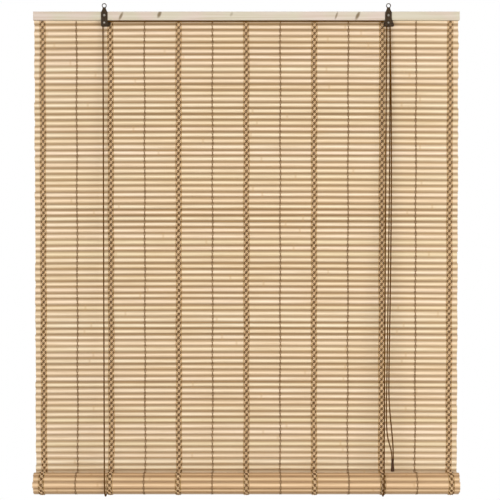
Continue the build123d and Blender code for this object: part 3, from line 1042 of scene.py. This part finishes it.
@dataclass
class Roll:
    """The rolled turns at the foot of the mat, with the warps over the outer turn."""

    layout: Layout
    palette: Palette
    warps: Warps
    seed: int = 23
    close: float = 0.0001
    width_spread: float = 0.0003
    # Shares of each wound slat's back kept plain, and where its painted shade at the edges is full
    back_flat: float = 0.15
    back_edge: float = 0.62
    outer_share: float = 0.8  # share of the outer turn that the warps follow

    def slat_place(self, radius: float, angle: float) -> Matrix:
        """Place of a wound slat's back.

        Args:
            radius: Distance of its back from the roll's axis.
            angle: Angle from the wall downwards, in radians.

        Returns:
            Matrix from the slat's own frame.
        """
        deep = self.layout.roll_y + radius * math.cos(angle)
        high = self.layout.roll_z - radius * math.sin(angle)
        return Matrix.Translation((0, deep, high)) @ Matrix.Rotation(-angle, 4, "X")

    def build_slats(self) -> None:
        """Make the wound slats."""
        maker = SlatMaker(
            self.layout,
            self.palette.roll_slat,
            self.seed,
            close=self.close,
            width_spread=self.width_spread,
            back_flat=self.back_flat,
            back_edge=self.back_edge,
        )
        places = [self.slat_place(radius, angle) for radius, angle in self.layout.wound_places()]
        mesh = maker.build("rolled_slats", places, bowed=False)
        settle(show(mesh), Body.ROLL, "mat_roll")

    def stations(self, steps: int) -> List[Station]:
        """Stations of a warp over the slat backs of the outer turn.

        Args:
            steps: Stations on each slat.

        Returns:
            How many slats have gone by at each station, and its frame, with Y off the slats.
        """
        sizes = self.layout
        outer = [place for place in sizes.wound_places() if place[1] < math.tau * self.outer_share]
        found = []
        for index, (radius, angle) in enumerate(outer):
            back = self.slat_place(radius, angle)
            for step in range(steps):
                share = (step + 0.5) / steps
                off = Matrix.Translation((0, self.warps.stand_off, (0.5 - share) * sizes.pitch))
                found.append((index + share, back @ off))
        return found

    def build_warps(self) -> None:
        """Make the bands and threads over the roll."""
        sizes = self.layout
        warps = self.warps
        coarse = self.stations(warps.ground_steps)
        fine = self.stations(warps.cross_steps)
        bands = []
        for step in sizes.band_steps:
            bands += warps.band_strands(step * sizes.warp_pitch, coarse, fine)
        mesh = strand_mesh("rolled_bands", bands, warps.yarn_radius, materials=self.palette.band_yarns)
        settle(show(mesh), Body.ROLL, "roll_bands")
        threads = []
        for step in sizes.thread_steps:
            threads += warps.thread_strands(step * sizes.warp_pitch, fine, 0.0)
        mesh = strand_mesh("rolled_threads", threads, warps.thread_radius, materials=(self.palette.thread,))
        settle(show(mesh), Body.ROLL, "roll_threads")


# Shares of a pull cord's sway, of its way forward to the end piece and of its drop
REAR_PULL_SHARES: Tuple[Point, ...] = (
    (0.018, 0.008, 0.026),
    (-0.055, 0.253, 0.286),
    (-0.455, 0.554, 0.592),
    (-0.873, 0.825, 0.838),
    (-1.0, 0.9, 0.907),
    (-0.836, 0.952, 0.947),
    (-0.327, 0.988, 0.9685),
    (0.118, 0.9985, 0.984),
)
FRONT_PULL_SHARES: Tuple[Point, ...] = (
    (0.082, 0.014, 0.026),
    (0.273, 0.281, 0.296),
    (0.055, 0.539, 0.553),
    (-0.473, 0.839, 0.8285),
    (-0.4, 0.887, 0.873),
    (-0.091, 0.932, 0.912),
    (0.273, 0.971, 0.952),
    (0.4455, 0.9965, 0.98),
)


@dataclass
class Cords:
    """Lift cords, cross cord and the two pull cords with their end piece."""

    layout: Layout
    palette: Palette
    front_groove: float = 0.00345
    rear_groove: float = 0.00775
    wheel_radius: float = 0.004
    wheel_clear: float = 0.012  # how much of a lift cord below its wheel is never taken up
    guard: float = 0.0003  # gap between a sling and the warps inside it
    warp_thickness: float = 0.0006
    left_sling_inset: float = 0.002
    right_sling_inset: float = 0.012
    anchor_inset: float = 0.002
    anchor_y: float = 0.01435
    knee_z: float = -0.0289  # where a rear leg turns in to the batten
    run_z: float = -0.0199  # where it has come to the batten's back
    anchor_z: float = -0.0154  # where its staple holds it
    quarter_steps: int = 2
    ring_sides: int = 12
    arc_step: float = 5.0  # in degrees
    toggle_x: float = 0.3405
    toggle_gap: float = 0.00085
    toggle_rise: float = 0.063
    toggle_length: float = 0.03
    toggle_radius: float = 0.0043
    toggle_sides: int = 32
    pull_sway: float = 0.011
    rear_pull_length: float = 1.0205
    front_pull_length: float = 1.0193

    @property
    def sling_radius(self) -> float:
        """Radius of a sling's middle under the roll.

        Returns:
            Radius in metres.
        """
        sizes = self.layout
        outer = math.hypot(sizes.roll_radius + sizes.seat + self.warp_thickness, sizes.slat_width / 2)
        return outer + self.guard + sizes.cord_radius

    @property
    def toggle_y(self) -> float:
        """Depth of the end piece, just in front of the roll.

        Returns:
            Depth in metres.
        """
        sizes = self.layout
        reach = math.hypot(sizes.roll_radius, sizes.slat_width / 2)
        return sizes.roll_y - reach - self.toggle_gap - self.toggle_radius

    @property
    def toggle_top(self) -> float:
        """Height of the end piece's top."""
        return self.layout.roll_z + self.toggle_rise

    def spun(
        self, name: str, start: Point, middle: Point, axis: Point, turn: float, body: Body, node: str
    ) -> None:
        """Make a cord that lies on an arc.

        Args:
            name: Name of the piece.
            start: Where the arc starts, in metres.
            middle: Its centre in metres.
            axis: Axis that it goes round.
            turn: Angle that it goes through, in degrees.
            body: Body that it rides on.
            node: Solid that it stands for.
        """
        shape = bmesh.new()
        ring = bmesh.ops.create_circle(
            shape, cap_ends=True, segments=self.ring_sides, radius=self.layout.cord_radius
        )["verts"]
        along = Vector(axis).cross(Vector(start) - Vector(middle))
        facing = along.to_track_quat("Z", "Y").to_matrix().to_4x4()
        bmesh.ops.transform(shape, matrix=Matrix.Translation(start) @ facing, verts=ring)
        bmesh.ops.spin(
            shape,
            geom=shape.verts[:] + shape.edges[:] + shape.faces[:],
            cent=middle,
            axis=axis,
            angle=math.radians(turn),
            steps=round(turn / self.arc_step),
        )
        bmesh.ops.recalc_face_normals(shape, faces=shape.faces)
        for side in shape.faces:
            side.smooth = len(side.verts) == 4
        settle(show(bake(name, shape, self.palette.cord)), body, node)

    def strand(self, name: str, points: Sequence[Point], node: str, smooth: bool = False) -> Object:
        """Make one cord piece that rides on the headrail.

        Args:
            name: Name of the piece.
            points: Points that it follows.
            node: Solid that it stands for.
            smooth: Whether the points are control points of a smooth line.

        Returns:
            The piece.
        """
        mesh = strand_mesh(
            name,
            [Strand(points)],
            self.layout.cord_radius,
            self.quarter_steps,
            (self.palette.cord,),
            smooth,
        )
        return settle(show(mesh), Body.HEADRAIL, node)

    def build_lift_cord(self, hand: Hand, groove: float, sling_inset: float) -> None:
        """Make the legs and the sling of one lift cord.

        Args:
            hand: Side of the blind.
            groove: Depth of its groove in metres.
            sling_inset: How far inside its wheel the sling passes under the roll, in metres.
        """
        sizes = self.layout
        side = hand.name.lower()
        wheel_x = hand.value * sizes.hanger_x
        sling_x = wheel_x - hand.value * sling_inset
        anchor_x = wheel_x - hand.value * self.anchor_inset
        back_y = sizes.roll_y + self.sling_radius
        lean = math.atan2(groove - sizes.roll_y + self.sling_radius, sizes.axle_z - sizes.roll_z)
        under = (sling_x, back_y, sizes.roll_z)
        self.spun(
            f"{side}_roll_sling",
            under,
            (sling_x, sizes.roll_y, sizes.roll_z),
            (-1, 0, 0),
            180 + math.degrees(lean),
            Body.SLINGS,
            f"{side}_sling",
        )
        foot = (
            sling_x,
            sizes.roll_y - self.sling_radius * math.cos(lean),
            sizes.roll_z + self.sling_radius * math.sin(lean),
        )
        top = (wheel_x - self.wheel_radius, groove, sizes.axle_z)
        below = tuple(Vector(top).lerp(Vector(foot), self.wheel_clear / (top[2] - foot[2])))
        self.strand(f"{side}_lift_cord_upper", [below, top], f"{side}_front_leg")
        front = self.strand(f"{side}_lift_cord_lower", [foot, below], f"{side}_front_leg")
        gather(front)
        share = (sizes.gather_z - sizes.roll_z) / (self.knee_z - sizes.roll_z)
        split = (sling_x + (anchor_x - sling_x) * share, back_y, sizes.gather_z)
        rear = [
            split,
            (anchor_x, back_y, self.knee_z),
            (anchor_x, self.anchor_y, self.run_z),
            (anchor_x, self.anchor_y, self.anchor_z),
        ]
        self.strand(f"{side}_rear_cord_upper", rear, f"{side}_rear_leg", smooth=True)
        lower = self.strand(f"{side}_rear_cord_lower", [under, split], f"{side}_rear_leg")
        gather(lower)

    def pull_route(self, groove: float, shares: Sequence[Point], hand: Hand) -> List[Point]:
        """Route of a pull cord, as the solids have it.

        Args:
            groove: Depth of its groove in metres.
            shares: Shares of its sway, of its way to the end piece and of its drop.
            hand: Side of the end piece that it goes to.

        Returns:
            Control points in metres.
        """
        sizes = self.layout
        start_x = sizes.hanger_x + self.wheel_radius
        end_x = self.toggle_x + hand.value * (sizes.cord_radius + sizes.seat / 2)
        middle = [
            (
                start_x + sway * self.pull_sway,
                groove + (self.toggle_y - groove) * forward,
                sizes.axle_z + (self.toggle_top - sizes.axle_z) * down,
            )
            for sway, forward, down in shares
        ]
        return [
            (start_x, groove, sizes.axle_z - sizes.seat),
            *middle,
            (end_x, self.toggle_y, self.toggle_top + sizes.seat),
        ]

    def build_pull_cords(self) -> None:
        """Make the two free cords and the end piece that joins them."""
        sizes = self.layout
        toggle = self.build_toggle()
        for name, groove, shares, hand, length in (
            ("rear_pull_cord", self.rear_groove, REAR_PULL_SHARES, Hand.LEFT, self.rear_pull_length),
            ("front_pull_cord", self.front_groove, FRONT_PULL_SHARES, Hand.RIGHT, self.front_pull_length),
        ):
            route = self.pull_route(groove, shares, hand)
            line = route_line(route)
            mesh = strand_mesh(
                f"{name}_braid",
                [Strand(line)],
                sizes.cord_radius,
                self.quarter_steps,
                (self.palette.cord,),
            )
            piece = show(mesh)
            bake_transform(piece)
            settle(piece, Body.HEADRAIL, name)

    def build_toggle(self) -> Object:
        """Turn the slim bell at the end of the pull cords.

        Returns:
            The piece.
        """
        foot = -self.toggle_length
        profile = [
            (0.0, 0.0),
            (0.0024, 0.0),
            (0.0031, -0.0004),
            (0.0033, -0.0012),
            (0.0029, 0.2 * foot),
            (0.0031, 0.45 * foot),
            (0.0038, 0.7 * foot),
            (self.toggle_radius, 0.87 * foot),
            (self.toggle_radius, 0.97 * foot),
            (0.0038, foot),
            (0.0, foot),
        ]
        shape = bmesh.new()
        spots = [shape.verts.new((radius, 0, height)) for radius, height in profile]
        edges = [shape.edges.new(pair) for pair in zip(spots, spots[1:])]
        bmesh.ops.spin(
            shape,
            geom=spots + edges,
            cent=(0, 0, 0),
            axis=(0, 0, 1),
            angle=math.tau,
            steps=self.toggle_sides,
            use_merge=True,
        )
        bmesh.ops.remove_doubles(shape, verts=shape.verts, dist=HAIR)
        bmesh.ops.recalc_face_normals(shape, faces=shape.faces)
        hung = (self.toggle_x, self.toggle_y, self.toggle_top)
        bmesh.ops.translate(shape, verts=shape.verts, vec=hung)
        for side in shape.faces:
            side.smooth = True
        mesh = bake("cord_end_bell", shape, self.palette.plastic)
        mesh.set_sharp_from_angle(angle=CREASE)
        return settle(show(mesh), Body.CORD_END, "pull_toggle")

    def build(self) -> None:
        """Make every cord."""
        sizes = self.layout
        left = -sizes.hanger_x
        right = sizes.hanger_x
        rim = self.wheel_radius
        high = sizes.axle_z + rim
        self.build_lift_cord(Hand.LEFT, self.rear_groove, self.left_sling_inset)
        self.build_lift_cord(Hand.RIGHT, self.front_groove, self.right_sling_inset)
        over = [
            (left - rim, self.rear_groove, sizes.axle_z),
            (left - rim, self.rear_groove, high),
            (left + rim, self.rear_groove, high),
            (right - rim, self.rear_groove, high),
            (right + rim, self.rear_groove, high),
            (right + rim, self.rear_groove, sizes.axle_z),
        ]
        self.strand("cross_cord_run", over, "cross_cord", smooth=True)
        self.spun(
            "lock_cord_turn",
            (right - rim, self.front_groove, sizes.axle_z),
            (right, self.front_groove, sizes.axle_z),
            (0, 1, 0),
            180,
            Body.HEADRAIL,
            "lock_turn",
        )
        self.build_pull_cords()


@dataclass
class Hardware:
    """The rigid solids that stay as they are and only get their finish."""

    palette: Palette

    def build(self) -> None:
        """Dress each rigid solid."""
        look = self.palette
        for material, nodes in (
            (look.pine, ("head_batten", "bottom_rod")),
            (look.lacquer, ("left_hanger", "lock_strap", "left_guide_cheek", "lock_cheek")),
            (look.plastic, ("left_wheel", "lock_wheel")),
            (look.nickel, ("left_wheel_axle", "lock_wheel_axle", "hanger_screws")),
            (look.dark_steel, ("lock_cam", "lock_cam_pin", "lock_tie_pin", "mat_tacks")),
            (look.zinc, ("cord_staples",)),
        ):
            for node in nodes:
                for spot in bpy.data.objects[node].material_slots:
                    spot.material = material
                log.info("%s wears %s", node, material.name)


@dataclass(frozen=True)
class Lamp:
    """A square soft lamp: where it hangs and its size in metres, and its power in watts."""

    name: str
    place: Point
    size: float
    power: float


@dataclass
class Stage:
    """Camera, soft light and pale surroundings."""

    focal_px: float = 1272.0
    image_px: float = 500.0
    sensor_mm: float = 36.0
    distance: float = 2.9928
    centre_x: float = 0.0085
    centre_z: float = -0.5725
    pitch: float = 1.4  # of the camera, in degrees down
    view_end: float = 50.0
    floor_z: float = -3.0
    floor_half: float = 6.0
    aim_z: float = -0.55
    soft_strength: float = 0.4
    lamps: Tuple[Lamp, ...] = (
        Lamp("key_lamp", (-1.1, -2.7, -0.2), 1.8, 44.0),
        Lamp("fill_lamp", (1.6, -2.1, -0.45), 1.8, 38.0),
        Lamp("back_lamp", (0.7, 2.8, 0.3), 2.0, 26.0),
    )

    def build(self) -> None:
        """Set up the whole stage."""
        self.build_camera()
        self.build_world()
        self.build_lights()
        self.build_floor()

    def build_camera(self) -> None:
        """Place the camera where the photograph was taken from."""
        data = bpy.data.cameras.new("photo_camera")
        data.sensor_width = self.sensor_mm
        data.lens = self.sensor_mm * self.focal_px / self.image_px
        data.clip_end = self.view_end
        camera = show(data)
        rise = self.distance * math.tan(math.radians(self.pitch))
        camera.location = (self.centre_x, -self.distance, self.centre_z + rise)
        camera.rotation_euler = (math.radians(90 - self.pitch), 0, 0)
        bpy.context.scene.camera = camera

    def build_world(self) -> None:
        """Make surroundings that look white and light the blind softly."""
        world = bpy.data.worlds.new("studio")
        world.use_nodes = True
        bpy.context.scene.world = world
        tree = world.node_tree
        seen = add_node(tree, "LightPath", {}, "Is Camera Ray")
        soft, white = [
            add_node(tree, "Background", {"Color": "ffffff", "Strength": strength})
            for strength in (self.soft_strength, 1.0)
        ]
        both = add_node(tree, "MixShader", {0: seen, 1: soft, 2: white})
        feed(tree, tree.nodes["World Output"], {"Surface": both})

    def build_lights(self) -> None:
        """Hang two large soft lamps in front of the blind and a weak one behind it."""
        for lamp in self.lamps:
            data = bpy.data.lights.new(lamp.name, "AREA")
            data.size = lamp.size
            data.energy = lamp.power
            holder = show(data)
            holder.location = lamp.place
            aim = Vector((0, 0, self.aim_z)) - Vector(lamp.place)
            holder.rotation_euler = aim.to_track_quat("-Z", "Y").to_euler()

    def floor_material(self) -> Material:
        """Make a pale floor that merges with the white surroundings in the picture.

        Returns:
            The material.
        """
        material, tree, shader = new_material("pale_floor")
        feed(tree, shader, {"Base Color": "eceae6", "Roughness": 0.8})
        seen = add_node(tree, "LightPath", {}, "Is Camera Ray")
        white = add_node(tree, "Emission", {"Color": "ffffff", "Strength": 1.0})
        both = add_node(tree, "MixShader", {0: seen, 1: shader.outputs[0], 2: white})
        feed(tree, tree.nodes["Material Output"], {"Surface": both})
        return material

    def build_floor(self) -> None:
        """Lay a pale floor below the blind."""
        shape = bmesh.new()
        bmesh.ops.create_grid(shape, x_segments=1, y_segments=1, size=self.floor_half)
        bmesh.ops.translate(shape, verts=shape.verts, vec=(0, 0, self.floor_z))
        show(bake("studio_floor", shape, self.floor_material()))


def main() -> None:
    """Build the blind and its stage."""
    bpy.context.scene.view_settings.view_transform = "Standard"
    palette = Palette()
    Stage().build()
    Hardware(palette).build()
    HangingMat(LAYOUT, palette).build()
    warps = Warps(LAYOUT, palette)
    warps.build()
    roll = Roll(LAYOUT, palette, warps)
    roll.build_slats()
    roll.build_warps()
    Cords(LAYOUT, palette).build()


if __name__ == "__main__":
    main()
